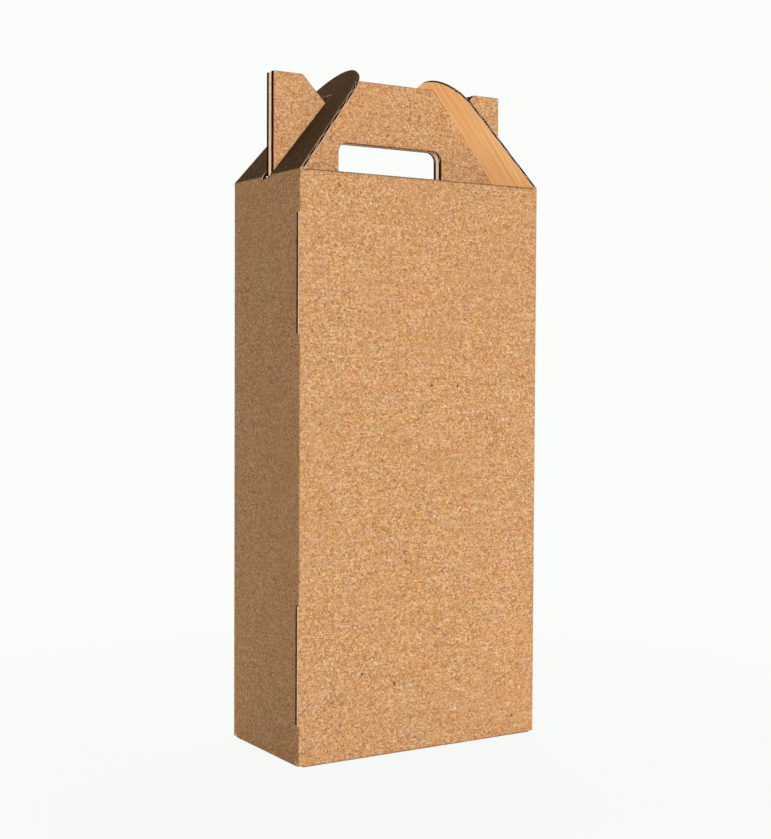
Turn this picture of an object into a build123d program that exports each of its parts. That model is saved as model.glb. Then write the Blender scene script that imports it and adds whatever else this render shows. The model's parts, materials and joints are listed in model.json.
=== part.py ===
"""Corrugated carry carton for two wine bottles, folded shut, in millimetres.

The origin is the middle of the base, +Z is up, and the front wall faces -Y.
The carton is one die-cut blank: four walls, glued bottom flaps, two top panels that fold in as a
flat roof and up as a double handle, and two slotted lock flaps that hook over the handle's horns.
Panels that fold open in use are solids of their own, which meet the walls along their creases.
"""

import os
from math import acos, atan2, cos, degrees, hypot, radians, sin, tan

from build123d import *

os.makedirs("parts", exist_ok=True)

# Board and its folds
board = 3.0
fold_outer_radius = 1.2
fold_inner_radius = 0.4
fold_flat = 0.5
layer_gap = 0.25
swing_gap = 0.35

# Body
body_width = 167.0
body_depth = 85.0
body_height = 340.0
roof_side_gap = 0.5
corner_relief = 1.0

# Handle
handle_rise = 61.0
handle_gap = 2.8
handle_end_inset = 2.5
hole_width = 74.0
hole_height = 22.4
hole_corner_radius = 6.0
hole_lift = 0.8
horn_top_width = 19.5
horn_ledge = 6.3

# Lock flaps, of board that is pressed thinner so that they bend over the horns
flap_board = 2.0
crease_lift = -0.3
flap_lean = 50.9
flap_bridge = 21.0
flap_nose_radius = 31.0
flap_side_inset = 0.5
slot_side_gap = 0.4

# Flutes of the board, open to view along the cut edges of the lock flaps
liner = 0.3
flute_paper = 0.35
flute_pitch = 3.5
flute_wall = 0.45
flute_slope = 55.0

# Lips of the front wall that stand past the left front corner
lip_length = 68.5
lip_margin = 24.5
lip_reach = 1.4

# Bottom flaps and glue lap
bottom_seam = 0.8
inner_flap_length = 42.0
joggle_climb = 45.0
lap_width = 30.0
lap_end_margin = 14.0
lap_taper = 8.0

# Sizes that follow from the board and the body
half_width = body_width / 2
half_depth = body_depth / 2
inner_width = body_width - 2 * board
inner_depth = body_depth - 2 * board
fold_reach = board + fold_inner_radius
roof_half = inner_width / 2 - roof_side_gap
crease_level = body_height - fold_reach - fold_flat

# The hinge of a lock flap lies along its top crease, with the flap's outside flush with the wall's
hinge_x = half_width - flap_board / 2
hinge_z = body_height + crease_lift
wall_top = hinge_z - flap_board / 2 - swing_gap
lean_cos = cos(radians(flap_lean))
lean_sin = sin(radians(flap_lean))

# The slot of a flap is as long as the horn's inner top corner needs when the flap swings past it
handle_top = body_height + handle_rise
handle_half = half_width - handle_end_inset
handle_half_thickness = handle_gap / 2 + board
horn_inner = handle_half - horn_top_width
horn_radius = hypot(hinge_x - horn_inner, handle_top - hinge_z)
slot_end = horn_radius + swing_gap
slot_half = handle_half_thickness + slot_side_gap
flap_length = slot_end + flap_bridge
flap_root_half = half_depth - flap_side_inset


def beside_flap(reach, lift):
    """Point in the front view, reach along the closed right flap and lift above its mid plane."""
    x = hinge_x - reach * lean_cos + lift * lean_sin
    z = hinge_z + reach * lean_sin + lift * lean_cos
    return x, z


with BuildPart() as carton:
    # Front and back strips of the blank, each from its bottom crease up to its top crease
    crease_foot = half_depth - fold_reach - fold_flat
    with BuildSketch(Plane.YZ):
        with BuildLine():
            outside = FilletPolyline(
                (crease_foot, 0),
                (half_depth, 0),
                (half_depth, crease_level),
                radius=fold_outer_radius,
            )
            inside = FilletPolyline(
                (crease_foot, board),
                (inner_depth / 2, board),
                (inner_depth / 2, crease_level),
                radius=fold_inner_radius,
            )
            Line(outside @ 0, inside @ 0)
            Line(outside @ 1, inside @ 1)
        make_face()
        mirror(about=Plane.YZ)
    extrude(amount=roof_half, both=True)

    # Four walls with rounded corner folds
    with BuildSketch(Plane.XY.offset(fold_reach)):
        RectangleRounded(body_width, body_depth, fold_outer_radius)
        RectangleRounded(inner_width, inner_depth, fold_inner_radius, mode=Mode.SUBTRACT)
    extrude(amount=crease_level - fold_reach)

    # Side walls and corner folds run on up beside the top creases of the front and back walls
    with BuildSketch(Plane.XY.offset(crease_level)):
        RectangleRounded(body_width, body_depth, fold_outer_radius)
        RectangleRounded(inner_width, inner_depth, fold_inner_radius, mode=Mode.SUBTRACT)
        Rectangle(2 * roof_half, body_depth, mode=Mode.SUBTRACT)
    extrude(amount=wall_top - crease_level)

    # Corner folds run on down between the bottom creases
    with BuildSketch(Plane.XY.offset(corner_relief)):
        RectangleRounded(body_width, body_depth, fold_outer_radius)
        RectangleRounded(inner_width, inner_depth, fold_inner_radius, mode=Mode.SUBTRACT)
        Rectangle(2 * roof_half, body_depth, mode=Mode.SUBTRACT)
        Rectangle(body_width, 2 * (half_depth - fold_reach), mode=Mode.SUBTRACT)
    extrude(amount=fold_reach - corner_relief)

    # Lips: the front wall runs straight on past the left corner fold
    for lip_foot in (lip_margin, body_height - lip_margin - lip_length):
        with BuildSketch(Plane.XY.offset(lip_foot)):
            with Locations((-half_width - lip_reach, -half_depth)):
                Rectangle(lip_reach + fold_outer_radius, board, align=(Align.MIN, Align.MIN))
        extrude(amount=lip_length)

    # Inner bottom flaps, from the side walls, which climb onto the outer ones
    climb_rise = board + layer_gap
    climb_run = climb_rise / tan(radians(joggle_climb))
    climb_radius = fold_inner_radius + board / 2
    climb_start = half_width - fold_reach - fold_flat
    climb_foot = climb_start - climb_radius * tan(radians(joggle_climb / 2))
    climb_head = climb_foot - climb_run
    with BuildSketch(Plane.XZ):
        with BuildLine():
            FilletPolyline(
                (half_width - fold_reach, board / 2),
                (climb_foot, board / 2),
                (climb_head, board / 2 + climb_rise),
                (half_width - inner_flap_length, board / 2 + climb_rise),
                radius=climb_radius,
            )
        trace(line_width=board)
        with BuildLine():
            outside = FilletPolyline(
                (climb_start, 0),
                (half_width, 0),
                (half_width, fold_reach + board),
                radius=fold_outer_radius,
            )
            inside = FilletPolyline(
                (climb_start, board),
                (inner_width / 2, board),
                (inner_width / 2, fold_reach + board),
                radius=fold_inner_radius,
            )
            Line(outside @ 0, inside @ 0)
            Line(outside @ 1, inside @ 1)
        make_face()
        mirror(about=Plane.YZ)
    extrude(amount=crease_foot - layer_gap, both=True)

    # Outer bottom flaps, from the front and back walls, which meet at a seam
    outer_flap_half = climb_head - board / 2
    outer_flap_depth = half_depth - fold_reach - bottom_seam / 2
    with BuildSketch(Plane.XY):
        with Locations((0, bottom_seam / 2)):
            Rectangle(2 * outer_flap_half, outer_flap_depth, align=(Align.CENTER, Align.MIN))
        mirror(about=Plane.XZ)
    extrude(amount=board)

    # Glue lap of the right wall, inside the back wall
    lap_root = inner_width / 2
    lap_low = lap_end_margin
    lap_high = body_height - lap_end_margin
    with BuildSketch(Plane.XZ.offset(-inner_depth / 2)):
        with BuildLine():
            Polyline(
                (lap_root, lap_low),
                (lap_root, lap_high),
                (lap_root - lap_width, lap_high - lap_taper),
                (lap_root - lap_width, lap_low + lap_taper),
                close=True,
            )
        make_face()
    extrude(amount=board)

carton.part.label = "carton"
export_step(carton.part, "parts/carton.step")


with BuildPart() as front_top_panel:
    # Strip of the blank from the front wall's top crease, along the roof, up to the handle's top
    with BuildSketch(Plane.YZ):
        with BuildLine():
            outside = FilletPolyline(
                (-half_depth, crease_level),
                (-half_depth, body_height),
                (-handle_half_thickness, body_height),
                (-handle_half_thickness, handle_top),
                radius=(fold_outer_radius, fold_inner_radius),
            )
            inside = FilletPolyline(
                (-inner_depth / 2, crease_level),
                (-inner_depth / 2, body_height - board),
                (-handle_gap / 2, body_height - board),
                (-handle_gap / 2, handle_top),
                radius=(fold_inner_radius, fold_outer_radius),
            )
            Line(outside @ 0, inside @ 0)
            Line(outside @ 1, inside @ 1)
        make_face()
    extrude(amount=handle_half, both=True)

    # Die-cut outline, with the horns and the notches that the lock flaps lie in
    bend_top = body_height + fold_inner_radius
    rest_lift = flap_board / 2 + swing_gap
    ledge_end = slot_end - swing_gap
    rest_x, rest_z = beside_flap(ledge_end, -rest_lift)
    crossing_x = rest_x - (handle_top - rest_z) * lean_cos / lean_sin
    with BuildSketch(Plane.XZ):
        with BuildLine():
            Polyline(
                (0, 0),
                (roof_half, 0),
                (roof_half, bend_top),
                (handle_half, bend_top),
                (handle_half, handle_top),
                (horn_inner, handle_top),
                beside_flap(ledge_end - horn_ledge, flap_board / 2),
                beside_flap(ledge_end, flap_board / 2),
                (rest_x, rest_z),
                (crossing_x, handle_top),
                (0, handle_top),
            )
            mirror(about=Plane.YZ)
        make_face()
        with Locations((0, body_height + hole_lift + hole_height / 2)):
            RectangleRounded(hole_width, hole_height, hole_corner_radius, mode=Mode.SUBTRACT)
    extrude(amount=half_depth, both=True, mode=Mode.INTERSECT)

front_top_panel.part.label = "front_top_panel"
export_step(front_top_panel.part, "parts/front_top_panel.step")


with BuildPart() as back_top_panel:
    mirror(front_top_panel.part, about=Plane.XZ)

back_top_panel.part.label = "back_top_panel"
export_step(back_top_panel.part, "parts/back_top_panel.step")


with BuildPart() as left_lock_flap:
    # Sheet of board with its flutes running along the flap
    hinge_point = (-hinge_x, 0, hinge_z)
    along_flap = (lean_cos, 0, lean_sin)
    flute_count = 2 * int(flap_root_half / flute_pitch) + 3
    cell_height = flap_board - 2 * liner - flute_paper
    cell_base = flute_pitch / 2 - flute_wall + cell_height / tan(radians(flute_slope))
    cell_level = flap_board / 2 - liner - cell_height / 2
    with BuildSketch(Plane(origin=hinge_point, x_dir=(0, 1, 0), z_dir=along_flap)):
        Rectangle(2 * flap_root_half, flap_board)
        with Locations((0, -cell_level)):
            with GridLocations(flute_pitch, 0, flute_count, 1):
                Trapezoid(cell_base, cell_height, flute_slope, mode=Mode.SUBTRACT)
        with Locations((0, cell_level)):
            with GridLocations(flute_pitch, 0, flute_count - 1, 1):
                Trapezoid(cell_base, cell_height, flute_slope, rotation=180, mode=Mode.SUBTRACT)
    extrude(amount=flap_length)

    # Tapered outline with a round nose
    flap_plane = Plane(origin=hinge_point, x_dir=along_flap, z_dir=(-lean_sin, 0, lean_cos))
    nose_centre = flap_length - flap_nose_radius
    root_distance = hypot(nose_centre, flap_root_half)
    touch_angle = 180 - degrees(atan2(flap_root_half, nose_centre) + acos(flap_nose_radius / root_distance))
    with BuildSketch(flap_plane):
        with BuildLine():
            nose = CenterArc((nose_centre, 0), flap_nose_radius, -touch_angle, 2 * touch_angle)
            Polyline(nose @ 1, (0, flap_root_half), (0, -flap_root_half), nose @ 0)
        make_face()
    extrude(amount=flap_board, both=True, mode=Mode.INTERSECT)

    # Rolled edge that turns on the crease
    with BuildSketch(Plane.XZ):
        with Locations((-hinge_x, hinge_z)):
            Circle(flap_board / 2)
    extrude(amount=flap_root_half, both=True)

    # Slot that the horns of both handle boards stand in
    with BuildSketch(flap_plane):
        with Locations((-flap_board, 0)):
            Rectangle(slot_end + flap_board, 2 * slot_half, align=(Align.MIN, Align.CENTER))
    extrude(amount=flap_board, both=True, mode=Mode.SUBTRACT)

left_lock_flap.part.label = "left_lock_flap"
export_step(left_lock_flap.part, "parts/left_lock_flap.step")


with BuildPart() as right_lock_flap:
    mirror(left_lock_flap.part, about=Plane.YZ)

right_lock_flap.part.label = "right_lock_flap"
export_step(right_lock_flap.part, "parts/right_lock_flap.step")
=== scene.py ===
import json
from math import acos, atan2, ceil, copysign, cos, hypot, pi, radians, sin, tan

import bmesh
import bpy
import numpy as np
from mathutils import Matrix, Vector
from mathutils.geometry import tessellate_polygon


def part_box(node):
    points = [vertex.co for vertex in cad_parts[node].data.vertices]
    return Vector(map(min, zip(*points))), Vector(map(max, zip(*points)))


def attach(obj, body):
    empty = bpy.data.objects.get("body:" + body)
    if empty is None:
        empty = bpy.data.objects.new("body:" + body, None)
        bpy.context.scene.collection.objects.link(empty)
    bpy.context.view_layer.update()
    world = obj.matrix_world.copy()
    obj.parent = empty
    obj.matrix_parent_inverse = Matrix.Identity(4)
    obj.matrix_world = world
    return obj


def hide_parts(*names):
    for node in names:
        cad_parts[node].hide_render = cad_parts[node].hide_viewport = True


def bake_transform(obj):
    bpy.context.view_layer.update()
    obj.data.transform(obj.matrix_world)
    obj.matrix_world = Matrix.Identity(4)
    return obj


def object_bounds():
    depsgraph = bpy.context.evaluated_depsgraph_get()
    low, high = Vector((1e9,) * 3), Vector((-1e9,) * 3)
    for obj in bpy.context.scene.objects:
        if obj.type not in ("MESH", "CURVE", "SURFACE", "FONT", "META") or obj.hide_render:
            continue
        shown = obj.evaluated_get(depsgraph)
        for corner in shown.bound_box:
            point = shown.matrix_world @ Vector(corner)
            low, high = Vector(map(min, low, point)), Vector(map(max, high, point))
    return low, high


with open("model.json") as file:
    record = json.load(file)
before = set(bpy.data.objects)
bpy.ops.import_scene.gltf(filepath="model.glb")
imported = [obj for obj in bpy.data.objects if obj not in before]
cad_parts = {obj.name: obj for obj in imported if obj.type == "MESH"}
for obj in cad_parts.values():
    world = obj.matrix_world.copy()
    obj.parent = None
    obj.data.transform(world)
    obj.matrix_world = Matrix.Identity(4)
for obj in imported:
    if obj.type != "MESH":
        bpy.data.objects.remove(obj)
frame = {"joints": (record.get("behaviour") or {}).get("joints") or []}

cad_low, cad_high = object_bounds()

# View: the carton is seen from a little above half its height, turned to show its left wall.
# Place, turn and lens were solved from the corners of the walls; the lens is set for a picture
# whose long side is its height.
picture_height = 839
focal_pixels = 1457.09
view_place = Vector((-0.47574, -0.76555, 0.22718))
view_yaw, view_pitch, view_roll = radians(31.837), radians(-1.971), radians(0.278)

camera_data = bpy.data.cameras.new("view")
camera_data.lens = camera_data.sensor_width * focal_pixels / picture_height
camera = bpy.data.objects.new("view", camera_data)
level_turn = Matrix.Rotation(-view_yaw, 4, "Z") @ Matrix.Rotation(pi / 2 + view_pitch, 4, "X")
standing = Matrix.Translation(view_place) @ level_turn
camera.matrix_world = standing @ Matrix.Rotation(view_roll, 4, "Z")
bpy.context.scene.collection.objects.link(camera)
bpy.context.scene.camera = camera
bpy.context.scene.view_settings.view_transform = "Standard"


# Table and light: a white light table, lit softly from below the front left corner, as product
# pictures of cartons are; a wide soft lamp behind and above keeps the back and the roof readable.
class Wire:
    """A socket in a tree of nodes: sums on it add Math nodes, and node() adds any other node."""

    def __init__(self, tree, socket=None):
        self.tree = tree
        self.socket = socket

    def node(self, kind, settings=None, sockets=None, output=0):
        made = self.tree.nodes.new(kind)
        for name, value in (settings or {}).items():
            if name == "stops":
                stops = made.color_ramp.elements
                while len(stops) < len(value):
                    stops.new(1.0)
                for stop, (place, colour) in zip(stops, value):
                    stop.position = place
                    stop.color = colour
            else:
                setattr(made, name, value)
        for name, value in (sockets or {}).items():
            if isinstance(value, Wire):
                self.tree.links.new(value.socket, made.inputs[name])
            else:
                made.inputs[name].default_value = value
        return Wire(self.tree, made.outputs[output] if made.outputs else None)

    def sum_of(self, operation, first, second):
        return self.node("ShaderNodeMath", {"operation": operation}, {0: first, 1: second})

    def __add__(self, other):
        return self.sum_of("ADD", self, other)

    def __radd__(self, other):
        return self.sum_of("ADD", other, self)

    def __sub__(self, other):
        return self.sum_of("SUBTRACT", self, other)

    def __rsub__(self, other):
        return self.sum_of("SUBTRACT", other, self)

    def __mul__(self, other):
        return self.sum_of("MULTIPLY", self, other)

    def __rmul__(self, other):
        return self.sum_of("MULTIPLY", other, self)

    def __abs__(self):
        return self.node("ShaderNodeMath", {"operation": "ABSOLUTE"}, {0: self})

    def part(self, axis):
        """One of the three values of a vector or a colour."""
        return self.node("ShaderNodeSeparateXYZ", sockets={0: self}, output=axis)

    def between(self, low, high):
        """0 below low, 1 above high, with a soft step from one to the other."""
        return self.node(
            "ShaderNodeMapRange",
            {"interpolation_type": "SMOOTHSTEP"},
            {"Value": self, "From Min": low, "From Max": high},
        )

    def tint(self, colour, share):
        """This colour, mixed with another one by its share."""
        sockets = {0: share, 6: self, 7: colour}
        return self.node("ShaderNodeMix", {"data_type": "RGBA"}, sockets, output=2)


def paint(red, green, blue):
    """The shader's linear values for a colour in the eight-bit values that a picture shows."""
    shown = [value / 255 for value in (red, green, blue)]
    return (*[v / 12.92 if v <= 0.04045 else ((v + 0.055) / 1.055) ** 2.4 for v in shown], 1.0)


def finish(name):
    """An empty material, a wire to start its nodes from, and the place of each point it covers."""
    material = bpy.data.materials.new(name)
    material.use_nodes = True
    material.node_tree.nodes.clear()
    start = Wire(material.node_tree)
    return material, start, start.node("ShaderNodeTexCoord", output="Object")


def seen_directly(start):
    """1 for what is looked at, also in a mirror or through glass, and 0 for the light it throws."""
    seen = start.node("ShaderNodeLightPath", output="Is Camera Ray")
    for ray in ("Is Glossy Ray", "Is Transmission Ray"):
        seen = seen.sum_of("MAXIMUM", seen, start.node("ShaderNodeLightPath", output=ray))
    return seen


table_half = 6.0
table_drop = 0.0004
table_white = paint(250, 253, 249)
table_shadow_share = 0.045
table_shadow_reach = 0.16, 0.55

table_data = bpy.data.meshes.new("light_table")
table_corners = (-1, -1), (1, -1), (1, 1), (-1, 1)
table_data.from_pydata(
    [(x * table_half, y * table_half, -table_drop) for x, y in table_corners], [], [(0, 1, 2, 3)]
)
table = bpy.data.objects.new("light_table", table_data)
table.visible_shadow = False  # the table is clear to the lamp below it
bpy.context.scene.collection.objects.link(table)

table_finish, start, place = finish("light_table_white")
lit = start.node("ShaderNodeBsdfDiffuse", sockets={"Color": table_white})
glow = start.node("ShaderNodeEmission", sockets={"Color": table_white, "Strength": 1.0})
away = start.node("ShaderNodeVectorMath", {"operation": "LENGTH"}, {0: place}, output="Value")
shaded = (1 - away.between(*table_shadow_reach)) * table_shadow_share
glow_share = seen_directly(start) * (1 - shaded)
top = start.node("ShaderNodeMixShader", sockets={0: glow_share, 1: lit, 2: glow})
start.node("ShaderNodeOutputMaterial", sockets={"Surface": top})
table_data.materials.append(table_finish)

world = bpy.data.worlds.new("studio")
bpy.context.scene.world = world
world.use_nodes = True
world.node_tree.nodes.clear()
room_level = 0.032
room_cool = paint(222, 244, 255)
start = Wire(world.node_tree)
seen = seen_directly(start)
backdrop = start.node(
    "ShaderNodeMix", {"data_type": "RGBA"}, {0: seen, 6: room_cool, 7: table_white}, output=2
)
room = start.node(
    "ShaderNodeBackground",
    sockets={"Color": backdrop, "Strength": seen * (1 - room_level) + room_level},
)
start.node("ShaderNodeOutputWorld", sockets={"Surface": room})

key_way, up_way = Vector((-0.315, -0.85, -0.52)), Vector((0, 0, -1))
key_softness = radians(14)
lamps = {
    "key_below_table": (key_way, 0.30, True),
    "key_spread": (key_way, 3.25, False),
    "table_glow": (up_way, 1.05, False),
}
for lamp_name, (lamp_way, lamp_strength, lamp_shadow) in lamps.items():
    lamp_data = bpy.data.lights.new(lamp_name, "SUN")
    lamp_data.energy = lamp_strength
    lamp_data.angle = key_softness
    lamp_data.use_shadow = lamp_shadow
    if not lamp_shadow:
        lamp_data.cycles.max_bounces = 0  # it fills the shadows and adds no glow between the boards
    lamp = bpy.data.objects.new(lamp_name, lamp_data)
    lamp.rotation_euler = lamp_way.to_track_quat("Z", "Y").to_euler()
    bpy.context.scene.collection.objects.link(lamp)

softbox_way = Vector((0.62, 0.60, 0.50))
softbox_distance, softbox_size, softbox_watts = 2.4, 2.0, 38.0
softbox_data = bpy.data.lights.new("back_softbox", "AREA")
softbox_data.shape = "DISK"
softbox_data.size = softbox_size
softbox_data.energy = softbox_watts
softbox = bpy.data.objects.new("back_softbox", softbox_data)
softbox.location = Vector((0, 0, cad_high.z / 2)) + softbox_way.normalized() * softbox_distance
softbox.rotation_euler = softbox_way.to_track_quat("Z", "Y").to_euler()
bpy.context.scene.collection.objects.link(softbox)


# Paper: the board's liners and core are recycled kraft paper; the core's near-black is painted
# shade, standing for the shade inside the flutes. The outside is a mix of brown, pale and grey
# fibres that lie mostly level; the inside is smoother, warmer and striped by the flutes, the
# stripes being bumps and painted shade.
paper_roughness = 0.9
paper_specular = 0.15
paper_relief = 0.0001


def noise(place, size, detail, roughness, output=0):
    """Soft noise from 0 to 1 whose grains are about size metres across."""
    return place.node(
        "ShaderNodeTexNoise",
        sockets={"Vector": place, "Scale": 1 / size, "Detail": detail, "Roughness": roughness},
        output=output,
    )


def stretched(place, ways):
    """The same place, run together along the ways whose value is under 1."""
    return place.node("ShaderNodeVectorMath", {"operation": "MULTIPLY"}, {0: place, 1: ways})


def specks(place, spacing, share, size):
    """Round specks: one in each cell of the spacing, of which only a share is kept."""
    cells = {"Vector": place, "Scale": 1 / spacing}
    reach = place.node("ShaderNodeTexVoronoi", sockets=cells, output="Distance")
    chance = place.node("ShaderNodeTexVoronoi", sockets=cells, output="Color")
    kept = 1 - chance.part("X").between(share, share * 1.01)
    return kept * (1 - reach.between(size / spacing * 0.5, size / spacing))


def ramp(value, stops):
    """The colour that a value takes in a row of stops, each a value and an eight-bit colour."""
    painted = [(stop, paint(*colour)) for stop, colour in stops]
    return value.node("ShaderNodeValToRGB", {"stops": painted}, {"Fac": value})


def grained(place, size, colours):
    """Plain paper: its colour, from dark to pale, and the fine grain that the colour follows."""
    grain = noise(place, size, 2, 0.7)
    return ramp(grain, zip((0.3, 0.5, 0.7), colours)), grain


def lay(start, colour, rough, height, relief=paper_relief, specular=paper_specular):
    """Joins a colour, a roughness and a height to a dull paper surface."""
    bump = start.node(
        "ShaderNodeBump", sockets={"Height": height, "Strength": 1.0, "Distance": relief}
    )
    surface = start.node(
        "ShaderNodeBsdfPrincipled",
        sockets={
            "Base Color": colour,
            "Roughness": rough,
            "Specular IOR Level": specular,
            "Normal": bump,
        },
    )
    start.node("ShaderNodeOutputMaterial", sockets={"Surface": surface})


flake_size, fray_size, grain_size = 0.00082, 0.0011, 0.0013
strand_size, blot_size, drift_size = 0.0016, 0.0078, 0.05
flake_share, grain_share = 0.52, 0.48
warm_blots, green_blots = (0.19, 0.07, -0.48), (-0.10, 0.18, -0.05)  # in red, green and blue
foot_shade_heights = 0.0003, 0.0017  # heights between which the painted shade along the base edge fades out
drift_strength, foot_shade_strength = 0.25, 0.8
pale_polish = 0.12
shade_relief, strand_relief = 0.6, 0.4

outside_paper, start, place = finish("speckled_kraft_outside")
fray = noise(place, fray_size, 1, 0.5, output="Color")
ragged = start.node(
    "ShaderNodeVectorMath", {"operation": "MULTIPLY_ADD"}, {0: fray, 1: (fray_size,) * 3, 2: place}
)
flakes = start.node(
    "ShaderNodeTexVoronoi",
    sockets={"Vector": stretched(ragged, (0.95, 0.95, 1.1)), "Scale": 1 / flake_size},
    output="Color",
)
flake_light, flake_hue = flakes.part("X"), flakes.part("Y")
grain = noise(stretched(place, (1, 1, 1.15)), grain_size, 2, 0.75)
strands = noise(stretched(place, (0.09, 0.09, 1.2)), strand_size, 2, 0.6)
blots = noise(stretched(place, (1, 1, 1.4)), blot_size, 2, 0.6, output="Color")
drift = noise(place, drift_size, 2, 0.5)
shade = flake_light * flake_share + grain * grain_share
colour = ramp(
    shade,
    [
        (0.10, (130, 80, 38)),
        (0.36, (190, 134, 82)),
        (0.62, (222, 169, 118)),
        (0.92, (251, 223, 187)),
    ],
)
fibre_kinds = (
    (paint(226, 164, 132), flake_hue.between(0.72, 0.80), 0.25),  # pinkish flakes
    (paint(208, 162, 96), 1 - flake_hue.between(0.20, 0.28), 0.25),  # straw flakes
    (paint(196, 132, 76), strands.between(0.54, 0.76), 0.42),  # brown strands
    (paint(236, 198, 160), 1 - strands.between(0.26, 0.46), 0.34),  # pale strands
)
for fibre_colour, fibre_place, fibre_share in fibre_kinds:
    colour = colour.tint(fibre_colour, fibre_place * fibre_share)
dye = [1 - (warm + green) / 2 for warm, green in zip(warm_blots, green_blots)]
for blot_axis, blot_way in (("X", warm_blots), ("Y", green_blots)):
    dye = start.node(
        "ShaderNodeVectorMath",
        {"operation": "MULTIPLY_ADD"},
        {0: blots.part(blot_axis), 1: blot_way, 2: dye},
    )
colour = start.node("ShaderNodeVectorMath", {"operation": "MULTIPLY"}, {0: colour, 1: dye})
colour = colour.tint(paint(204, 150, 100), drift.between(0.45, 0.7) * drift_strength)
speck_kinds = (
    # colour, spacing, share kept, size, strength
    (paint(250, 232, 206), 0.008, 0.35, 0.0009, 0.6),
    (paint(128, 80, 42), 0.0042, 0.5, 0.0008, 0.7),
    (paint(48, 30, 18), 0.022, 0.3, 0.0011, 0.85),
)
for speck_colour, spacing, share, size, strength in speck_kinds:
    colour = colour.tint(speck_colour, specks(ragged, spacing, share, size) * strength)
# Painted shade: the outside paper is darker towards the bottom, along the base edge that stands on
# the table.
foot_shade = (1 - place.part("Z").between(*foot_shade_heights)) * foot_shade_strength
colour = colour.tint(paint(104, 70, 42), foot_shade)
fibre_relief = shade * shade_relief + strands * strand_relief
lay(start, colour, paper_roughness - shade * pale_polish, fibre_relief)

fuzz_size, rib_size, rib_relief = 0.0014, 0.0022, 0.0002
rib_shade_share, fuzz_share, fuzz_polish = 0.75, 0.25, 0.08

inside_paper, start, place = finish("warm_kraft_inside")
fuzz = noise(place, fuzz_size, 2, 0.6)
ribs = noise(stretched(place, (0.05, 1, 0.05)), rib_size, 1, 0.5)
# The ribs' lighter and darker stripes are painted shade of the washboarding, on top of their bump.
colour = ramp(
    ribs * rib_shade_share + fuzz * fuzz_share,
    [
        (0.30, (222, 154, 92)),
        (0.48, (238, 175, 112)),
        (0.60, (244, 184, 123)),
        (0.74, (250, 199, 146)),
    ],
)
lay(start, colour, paper_roughness - fuzz * fuzz_polish, ribs, relief=rib_relief)

edge_grain, core_grain = 0.0006, 0.0008
edge_colours = (212, 176, 140), (232, 200, 168), (242, 218, 190)
core_shade_colours = (26, 9, 4), (38, 15, 7), (56, 26, 14)
rim_colours = (96, 60, 32), (122, 80, 46), (150, 104, 64)

cut_paper, start, place = finish("pale_cut_edge")
colour, grain = grained(place, edge_grain, edge_colours)
lay(start, colour, paper_roughness, grain)

# The core's near-black is painted shade: it stands for the shade deep in the flutes, which the
# shadowless lamps would light.
core_shade_paper, start, place = finish("dark_core_paper")
colour, grain = grained(place, core_grain, core_shade_colours)
lay(start, colour, paper_roughness, grain, specular=0)

rim_paper, start, place = finish("crushed_rim")
colour, grain = grained(place, core_grain, rim_colours)
lay(start, colour, paper_roughness, grain)

gap_shade_dims_from, gap_shade_darkens_from = (0.3600, 0.3630), (0.3640, 0.3700)  # up from the hand hole's top, where painted shade first dims and then darkens the gap
gap_deep_from = 0.0016, 0.0034  # in from the handle's ends, where the gap is still light and the painted shade starts

# Painted shade: the paper between the handle boards is pale near the ends and the hand hole, and is
# dimmed and then darkened deeper in and higher up, where shade falls in the gap.
shaded_gap_paper, start, place = finish("paper_in_the_gap")
colour, grain = grained(place, edge_grain, edge_colours)
to_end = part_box("front_top_panel")[1].x - abs(place.part("X"))
deep, height = to_end.between(*gap_deep_from), place.part("Z")
colour = colour.tint(paint(150, 108, 72), deep * height.between(*gap_shade_dims_from))
colour = colour.tint(paint(58, 40, 26), deep * height.between(*gap_shade_darkens_from))
lay(start, colour, paper_roughness, grain)

papers = [outside_paper, inside_paper, cut_paper, core_shade_paper, rim_paper, shaded_gap_paper]
outside, inside, cut, core, crushed, gap = range(len(papers))


# Walls and bottom: one sleeve of corrugated board with rounded corner folds, closed by a glued lap
# inside a back corner, its bottom flaps folded in and glued; the front and back walls end at their
# top creases, where the top panels go on.
board = 0.003
liner = 0.0003
fold_outer = 0.0012
fold_inner = 0.0004
fold_reach = board + fold_inner
fold_flat = 0.0005
fold_steps = 10
corner_relief = 0.001
layer_gap = 0.00025
bottom_seam = 0.0008
inner_flap_length = 0.042
joggle_climb = radians(45)
lap_width, lap_end_margin, lap_taper = 0.03, 0.014, 0.008

carton_low, carton_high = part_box("carton")
panel_low, panel_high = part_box("front_top_panel")
half_width, half_depth, wall_top = carton_high
crease_level = panel_low.z
body_height = crease_level + fold_reach + fold_flat


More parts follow.
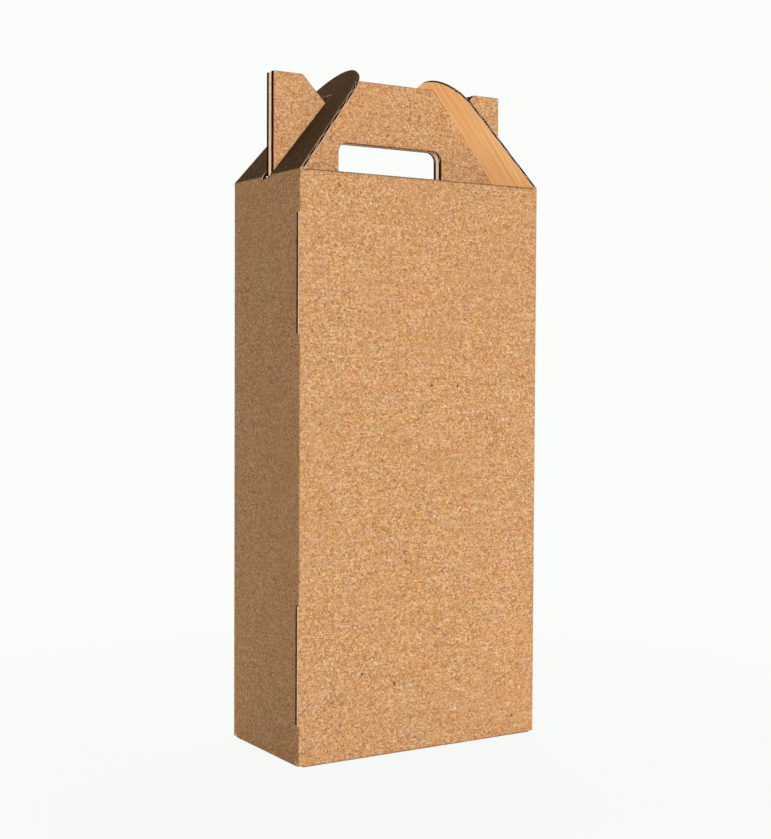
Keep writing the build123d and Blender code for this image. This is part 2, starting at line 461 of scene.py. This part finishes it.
class Board:
    """The mesh of one piece of board: points in metres, and faces with the paper each shows."""

    def __init__(self):
        self.points = []
        self.faces = []
        self.papers = []

    def add(self, points, faces, paper):
        first = len(self.points)
        self.points += [tuple(p) for p in points]
        self.faces += [tuple(first + i for i in face) for face in faces]
        self.papers += [paper] * len(faces)

    def skin(self, one, other, paper):
        """A strip of faces from one line of points to another."""
        count = len(one)
        quads = [(k, k + 1, count + k + 1, count + k) for k in range(count - 1)]
        self.add([*one, *other], quads, paper)

    def bent(self, outer, inner, spans, put, middles):
        """A bent strip: its faces in a side view, its two ends, and the core's paper at each."""
        spans = [np.broadcast_to(across, len(outer)) for across in spans]
        shares = 0, liner / board, 1 - liner / board, 1
        levels = [outer + (inner - outer) * share for share in shares]
        rims = [
            [[put(p, a) for p, a in zip(level, across)] for across in spans] for level in levels
        ]
        self.skin(*rims[0], outside)
        self.skin(*rims[-1], inside)
        for over, under, layer_papers in zip(rims, rims[1:], ((cut, cut), middles, (cut, cut))):
            for side_over, side_under, paper in zip(over, under, layer_papers):
                self.skin(side_over, side_under, paper)
            for k in (0, -1):
                corners = over[0][k], over[1][k], under[1][k], under[0][k]
                self.add(corners, [(0, 1, 2, 3)], layer_papers[0])

    def plate(
        self, loops, low, high, put, papers_low_high, crush=0, rim=None, root=None, dark_sides=0
    ):
        """A flat sheet between two levels; loops after the first are holes.

        The die crushes the high face's rim, but not at the root, where the board runs on; the last
        dark sides of the first loop were cut along a flute and show the core, painted dark as
        shade.
        """
        rim_loops = [drawn_in(loop, crush, root) for loop in loops]
        for level, edges, paper in zip((low, high), (loops, rim_loops), papers_low_high):
            flat = [[Vector((u, v, 0)) for u, v in edge] for edge in edges]
            points = [put(u, v, level) for edge in edges for u, v in edge]
            self.add(points, tessellate_polygon(flat), paper)
        for loop, rim_loop in zip(loops, rim_loops):
            first_dark = len(loop) - dark_sides if loop is loops[0] else len(loop)
            for k in range(len(loop)):
                ends = k, (k + 1) % len(loop)
                foot, shoulder = [
                    [put(*loop[end], level) for end in ends] for level in (low, high - crush)
                ]
                self.skin(foot, shoulder, cut if k < first_dark else core)
                if crush:
                    self.skin(shoulder, [put(*rim_loop[end], high) for end in ends], rim)

    def build(self, name, weld=1e-7, smooth_under=radians(32)):
        data = bpy.data.meshes.new(name)
        data.from_pydata(self.points, [], self.faces)
        for paper in papers:
            data.materials.append(paper)
        data.polygons.foreach_set("material_index", self.papers)
        shape = bmesh.new()
        shape.from_mesh(data)
        bmesh.ops.remove_doubles(shape, verts=shape.verts, dist=weld)
        bmesh.ops.recalc_face_normals(shape, faces=shape.faces)
        shape.to_mesh(data)
        shape.free()
        data.shade_smooth()
        data.set_sharp_from_angle(angle=smooth_under)
        piece = bpy.data.objects.new(name, data)
        bpy.context.scene.collection.objects.link(piece)
        return piece


def drawn_in(loop, width, root):
    """An outline drawn in by a width, but not along its root; a hole runs clockwise and grows."""
    points = [np.array(point, float) for point in loop]
    lefts, widths = [], []
    for a, b in zip(points, [*points[1:], points[0]]):
        head = (b - a) / np.linalg.norm(b - a)
        lefts.append(np.array((-head[1], head[0])))
        widths.append(0 if a[1] == b[1] == root else width)
    drawn = []
    for k, point in enumerate(points):
        lean = lefts[k - 1] @ lefts[k]
        if widths[k - 1] == widths[k]:
            shift = widths[k] * (lefts[k - 1] + lefts[k]) / (1 + lean)
        else:
            from_before = (widths[k - 1] - lean * widths[k]) * lefts[k - 1]
            from_after = (widths[k] - lean * widths[k - 1]) * lefts[k]
            shift = (from_before + from_after) / (1 - lean * lean)
        drawn.append(tuple(point + shift))
    return drawn


def fold_line(corners, level):
    """A line beside the mid line of a folded strip, level to its left, with rounded corners."""
    corners = [np.array(corner, float) for corner in corners]
    heads = [(b - a) / np.linalg.norm(b - a) for a, b in zip(corners, corners[1:])]
    lefts = [np.array((-head[1], head[0])) for head in heads]
    line = [corners[0] + level * lefts[0]]
    bends = zip(corners[1:-1], heads, heads[1:], lefts, lefts[1:])
    for corner, before, after, left, next_left in bends:
        turn = atan2(before[0] * after[1] - before[1] * after[0], before @ after)
        wide = copysign(level / board, turn)
        radius = (fold_outer + fold_inner) / 2 - wide * (fold_outer - fold_inner)
        tip = corner + level * (left + next_left) / (1 + left @ next_left)
        bend = copysign(radius, turn)
        centre = tip - before * radius * tan(abs(turn) / 2) + bend * left
        for angle in np.linspace(0, turn, fold_steps + 1):
            line.append(centre - bend * (left * cos(angle) - before * sin(angle)))
    line.append(corners[-1] + level * lefts[-1])
    return np.array(line)


def wall_loop(inset, radius):
    """A level section of one face of the walls: each corner fold and the flats beside it."""
    loop = []
    flat_end = fold_reach + fold_flat
    for quarter, ways in enumerate(((1, 1), (-1, 1), (-1, -1), (1, -1))):
        corner = np.array((half_width, half_depth)) * ways
        out = np.array((cos(quarter * pi / 2), sin(quarter * pi / 2)))
        along = np.array((-out[1], out[0]))
        centre = corner - (inset + radius) * (out + along)
        turns = np.linspace(0, pi / 2, fold_steps + 1)
        arc = [centre + radius * (cos(turn) * out + sin(turn) * along) for turn in turns]
        before = [corner - inset * out - reach * along for reach in (flat_end, fold_reach)]
        after = [corner - inset * along - reach * out for reach in (fold_reach, flat_end)]
        loop += [*before, *arc, *after]
    return loop


walls = Board()
levels = (corner_relief, fold_reach, crease_level, wall_top)
wall_layers = {"corner": (0, 1, 2), "side": (1, 2), "face": (1,)}
outer_loop, inner_loop = wall_loop(0, fold_outer), wall_loop(board, fold_inner)
kinds = []
for quarter in range(4):
    first_wall, next_wall = ("side", "face") if quarter % 2 == 0 else ("face", "side")
    kinds += [first_wall, *["corner"] * (fold_steps + 2), next_wall, next_wall]
cells = {(column, layer) for column, kind in enumerate(kinds) for layer in wall_layers[kind]}
for column, layer in sorted(cells):
    ends = (column, (column + 1) % len(kinds))
    low, high = levels[layer], levels[layer + 1]
    outer_low, outer_high, inner_low, inner_high = [
        [(*loop[end], level) for end in ends]
        for loop in (outer_loop, inner_loop)
        for level in (low, high)
    ]
    walls.skin(outer_low, outer_high, outside)
    walls.skin(inner_low, inner_high, inside)
    if (column, layer + 1) not in cells:
        walls.skin(outer_high, inner_high, cut)
    # a column's foot, at the corner relief or above the bottom folds, shows the core in its painted
    # shade
    if (column, layer - 1) not in cells:
        walls.skin(outer_low, inner_low, core)
    for end, beside in zip((0, 1), (column - 1, column + 1)):
        if (beside % len(kinds), layer) not in cells:
            walls.skin([outer_low[end], inner_low[end]], [outer_high[end], inner_high[end]], cut)

crease_foot = half_depth - fold_reach - fold_flat
face_mid, side_mid, floor_mid = half_depth - board / 2, half_width - board / 2, board / 2
fold_ends = fold_reach - half_width, half_width - fold_reach
for side in (-1, 1):
    fold = [(face_mid, fold_reach), (face_mid, floor_mid), (crease_foot, floor_mid)]
    outer, inner = fold_line(fold, board / 2), fold_line(fold, -board / 2)
    walls.bent(outer, inner, fold_ends, lambda p, x: (x, side * p[0], p[1]), (core, core))

climb_rise = board + layer_gap
climb_start = half_width - fold_reach - fold_flat
climb_foot = climb_start - (fold_inner + board / 2) * tan(joggle_climb / 2)
climb_head = climb_foot - climb_rise / tan(joggle_climb)
inner_flap_half = crease_foot - layer_gap
for side in (-1, 1):
    fold = [
        (side_mid, fold_reach),
        (side_mid, floor_mid),
        (climb_foot, floor_mid),
        (climb_head, floor_mid + climb_rise),
        (half_width - inner_flap_length, floor_mid + climb_rise),
    ]
    outer, inner = fold_line(fold, board / 2), fold_line(fold, -board / 2)
    flap_ends = -inner_flap_half, inner_flap_half
    walls.bent(outer, inner, flap_ends, lambda p, y: (side * p[0], y, p[1]), (core, core))

outer_flap_half = climb_head - board / 2
for side in (-1, 1):
    bottom_outline = [
        (-outer_flap_half, bottom_seam / 2),
        (outer_flap_half, bottom_seam / 2),
        (outer_flap_half, crease_foot),
        (-outer_flap_half, crease_foot),
    ]
    walls.plate([bottom_outline], 0, board, lambda u, v, w: (u, side * v, w), (outside, inside))

lap_root, lap_high = half_width - board, body_height - lap_end_margin
lap_outline = [
    (lap_root, lap_end_margin),
    (lap_root, lap_high),
    (lap_root - lap_width, lap_high - lap_taper),
    (lap_root - lap_width, lap_end_margin + lap_taper),
]
lap_faces = half_depth - 2 * board, half_depth - board
walls.plate([lap_outline], *lap_faces, lambda u, v, w: (u, w, v), (inside, outside))

carton_board = walls.build("carton_board")
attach(carton_board, "body")
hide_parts("carton")


# Lips: two strips of the front wall's own board that were cut past the left corner fold, so that
# they stand out straight where the wall turns; the flute that the cut laid open shows as a dark
# channel between the two liners, its darkness painted shade on the core's paper.
lip_length, lip_margin = 0.0685, 0.0245
lip_floor_step = 0.0002
lip_edge, lip_press, lip_back_edge = 0.0003, 0.00003, 0.0009

lip_end = carton_low.x
lip_root = fold_outer - half_width
lip_floor = -half_width - lip_floor_step
lip_front, lip_back = -half_depth, board - half_depth
lip_section = [
    (lip_root, lip_front),
    (lip_end + lip_edge, lip_front),
    (lip_end, lip_front + lip_press),
    (lip_end, lip_front + liner),
    (lip_floor, lip_front + liner),
    (lip_floor, lip_back - lip_back_edge),
    (lip_end, lip_back - lip_back_edge),
    (lip_end, lip_back),
    (lip_root, lip_back),
]
lip_papers = outside, cut, cut, core, core, core, outside, inside, inside
lip_end_faces = tessellate_polygon([[Vector((*p, 0)) for p in lip_section]])
lip_feet = {"lower_lip": lip_margin, "upper_lip": body_height - lip_margin - lip_length}

for lip_name, lip_foot in lip_feet.items():
    lip = Board()
    lip_ends = lip_foot, lip_foot + lip_length
    for a, b, paper in zip(lip_section, [*lip_section[1:], lip_section[0]], lip_papers):
        lip.skin(*[[(*p, level) for p in (a, b)] for level in lip_ends], paper)
    for level in lip_ends:
        lip.add([(*p, level) for p in lip_section], lip_end_faces, cut)
    lip_piece = lip.build(lip_name)
    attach(lip_piece, "body")


# Top panels: the board of the front and back walls runs on, folded in as the two halves of the roof
# and then up as the two boards of the handle, die-cut with the hand hole and with the horns that
# stand through the slots of the lock flaps.
flute_pitch = 0.0035
core_thickness = 0.0002
core_steps = 14
core_step = flute_pitch / core_steps
core_trim = 1e-6
die_crush = 0.00028
hole_width, hole_height, hole_radius, hole_lift = 0.074, 0.0224, 0.006, 0.0008
hole_steps = 8
roof_side_gap = 0.0005
horn_top_width, horn_ledge = 0.0195, 0.0063
ledge_crush, ledge_proud = 0.0004, 0.00002
swing_gap = 0.00035
flap_lean = radians(50.9)
pressed_board = 0.002

handle_half, handle_top = panel_high.x, panel_high.z
handle_inner = -panel_high.y
roof_half = half_width - board - roof_side_gap
bend_top = body_height + fold_inner
right_crease = next(joint for joint in frame["joints"] if joint["name"] == "right_flap_crease")
hinge_x, hinge_z = right_crease["pos_m"][0], right_crease["pos_m"][2]
horn_inner = handle_half - horn_top_width
horn_reach = hypot(hinge_x - horn_inner, handle_top - hinge_z)


def beside_flap(reach, lift):
    """A point of the front view, reach along the closed right flap and lift above its middle."""
    return (
        hinge_x - reach * cos(flap_lean) + lift * sin(flap_lean),
        hinge_z + reach * sin(flap_lean) + lift * cos(flap_lean),
    )


def fluted(sheet, thickness, loops, put, back, rim, dark_sides=0):
    """A flat cut board: two liners and the wavy core between them, open at every cut edge."""
    half = thickness / 2
    root = loops[0][0][1]
    sheet.plate(loops, half - liner, half, put, (core, outside), die_crush, rim, root, dark_sides)
    sheet.plate(loops, -half, liner - half, put, (back, core), dark_sides=dark_sides)
    sides = [(a, b) for loop in loops for a, b in zip(loop, [*loop[1:], loop[0]])]
    stops = sorted({round(u, 7) for loop in loops for u, v in loop})
    rise = half - liner - core_thickness / 2
    for left, right in zip(stops, stops[1:]):
        steps = ceil((right - left) / core_step)
        columns = np.linspace(left + core_trim, right - core_trim, steps + 1)
        crossings = []
        for u in columns:
            crossed = [(a, b) for a, b in sides if (a[0] - u) * (b[0] - u) < 0]
            heights = [a[1] + (u - a[0]) / (b[0] - a[0]) * (b[1] - a[1]) for a, b in crossed]
            crossings.append(sorted(heights))
        wave = rise * np.sin(2 * pi * columns / flute_pitch)
        slope = rise * 2 * pi / flute_pitch * np.cos(2 * pi * columns / flute_pitch)
        thick = core_thickness / 2 * np.sqrt(1 + slope * slope)
        for band in range(0, len(crossings[0]), 2):
            start_under, start_over, end_under, end_over = [
                [
                    put(u, crossing[band + end], w + way * t)
                    for u, crossing, w, t in zip(columns, crossings, wave, thick)
                ]
                for end in (0, 1)
                for way in (-1, 1)
            ]
            sheet.skin(start_over, end_over, core)
            sheet.skin(end_under, start_under, core)
            sheet.skin(start_under, start_over, cut)
            sheet.skin(end_over, end_under, cut)
            for k in (0, -1):
                corners = start_under[k], start_over[k], end_over[k], end_under[k]
                sheet.add(corners, [(0, 1, 2, 3)], core)


rest_x, rest_z = beside_flap(horn_reach, -pressed_board / 2 - swing_gap)
notch_x = rest_x - (handle_top - rest_z) / tan(flap_lean)
handle_right = [
    (handle_half, bend_top),
    (handle_half, handle_top),
    (horn_inner, handle_top),
    beside_flap(horn_reach - horn_ledge, pressed_board / 2),
    beside_flap(horn_reach, pressed_board / 2),
    (rest_x, rest_z),
    (notch_x, handle_top),
]
handle_outline = handle_right + [(-x, z) for x, z in reversed(handle_right)]
ledge_section = [
    beside_flap(horn_reach - horn_ledge, pressed_board / 2 + ledge_proud),
    beside_flap(horn_reach, pressed_board / 2 + ledge_proud),
    beside_flap(horn_reach, pressed_board / 2 - ledge_crush),
    beside_flap(horn_reach - horn_ledge, pressed_board / 2 - ledge_crush),
]
ledge_sides = [(k, 4 + k, 4 + (k + 1) % 4, (k + 1) % 4) for k in range(4)]
ledge_faces = [(0, 1, 2, 3), (7, 6, 5, 4), *ledge_sides]
hole_middle = body_height + hole_lift + hole_height / 2
hole_outline = []
for quarter, (way_x, way_z) in ((4, (1, -1)), (3, (-1, -1)), (2, (-1, 1)), (1, (1, 1))):
    corner_x = way_x * (hole_width / 2 - hole_radius)
    corner_z = hole_middle + way_z * (hole_height / 2 - hole_radius)
    for turn in np.linspace(quarter, quarter - 1, hole_steps + 1) * pi / 2:
        edge = corner_x + hole_radius * cos(turn), corner_z + hole_radius * sin(turn)
        hole_outline.append(edge)

handle_mid, roof_mid = handle_inner + board / 2, body_height - board / 2
fold = [
    (handle_mid, bend_top),
    (handle_mid, roof_mid),
    (face_mid, roof_mid),
    (face_mid, crease_level),
]
outer, inner = fold_line(fold, board / 2), fold_line(fold, -board / 2)
roof_ends = -roof_half, roof_half
for panel_name, side in (("front", -1), ("back", 1)):
    panel = Board()
    panel.bent(outer, inner, roof_ends, lambda p, x: (x, side * p[0], p[1]), (crushed, crushed))

    def on_handle(u, v, w):
        return u, side * (handle_mid + w), v

    fluted(panel, board, [handle_outline, hole_outline], on_handle, gap, crushed)
    for end in (-1, 1):
        ledge = [
            on_handle(end * x, z, w)
            for w in (liner - board / 2, board / 2 - liner)
            for x, z in ledge_section
        ]
        panel.add(ledge, ledge_faces, outside)
    panel_board = panel.build(panel_name + "_panel_board")
    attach(panel_board, "body")
    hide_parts(panel_name + "_top_panel")


# Lock flaps: tapered, round-nosed flaps of board pressed thinner, folded in from the side walls,
# each slotted to drop over the horns. Their flutes run along them, so the slanting cut sides show
# the core as a row of dashes, dark with painted shade.
flap_bridge = 0.021
nose_radius = 0.031
nose_steps = 40
slot_side_gap = 0.0004
slot_sides = 3

flap_root_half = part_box("left_lock_flap")[1].y
slot_half = handle_inner + board + slot_side_gap
slot_end = horn_reach + swing_gap
flap_length = slot_end + flap_bridge
crease_reach = hinge_z - wall_top
nose_middle = flap_length - nose_radius
root_distance = hypot(nose_middle, flap_root_half)
touch_turn = pi - atan2(flap_root_half, nose_middle) - acos(nose_radius / root_distance)
touch_half = nose_radius * sin(touch_turn)
touch_reach = nose_middle + nose_radius * cos(touch_turn)
side_slope = (flap_root_half - touch_half) / touch_reach
crease_half = flap_root_half - side_slope * crease_reach
nose = [
    (nose_radius * sin(turn), nose_middle + nose_radius * cos(turn))
    for turn in np.linspace(touch_turn, -touch_turn, nose_steps + 1)
]
flap_outline = [
    (slot_half, crease_reach),
    (crease_half, crease_reach),
    *nose,
    (-crease_half, crease_reach),
    (-slot_half, crease_reach),
    (-slot_half, slot_end),
    (slot_half, slot_end),
]

crease_outer_end = beside_flap(crease_reach, pressed_board / 2)
crease_inner_end = beside_flap(crease_reach, -pressed_board / 2)
crease_tip = half_width, crease_outer_end[1] - (half_width - crease_outer_end[0]) * tan(flap_lean)
crease_outer = fold_line([(half_width, wall_top), crease_tip, crease_outer_end], 0)
crease_inner = np.linspace((half_width - board, wall_top), crease_inner_end, len(crease_outer))
crease_side_half = np.linspace(flap_root_half, crease_half, len(crease_outer))

for flap_name, side in (("left", -1), ("right", 1)):
    flap = Board()

    def on_flap(u, v, w):
        x, z = beside_flap(v, w)
        return side * x, u, z

    fluted(flap, pressed_board, [flap_outline], on_flap, inside, outside, slot_sides)
    flap_board = flap.build(flap_name + "_flap_board")
    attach(flap_board, flap_name + "_flap")
    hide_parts(flap_name + "_lock_flap")

    crease = Board()
    for way in (-1, 1):
        crease.bent(
            crease_outer,
            crease_inner,
            (way * slot_half, way * crease_side_half),
            lambda p, y: (side * p[0], y, p[1]),
            (core, outside),
        )
    crease_board = crease.build(flap_name + "_crease")
    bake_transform(crease_board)
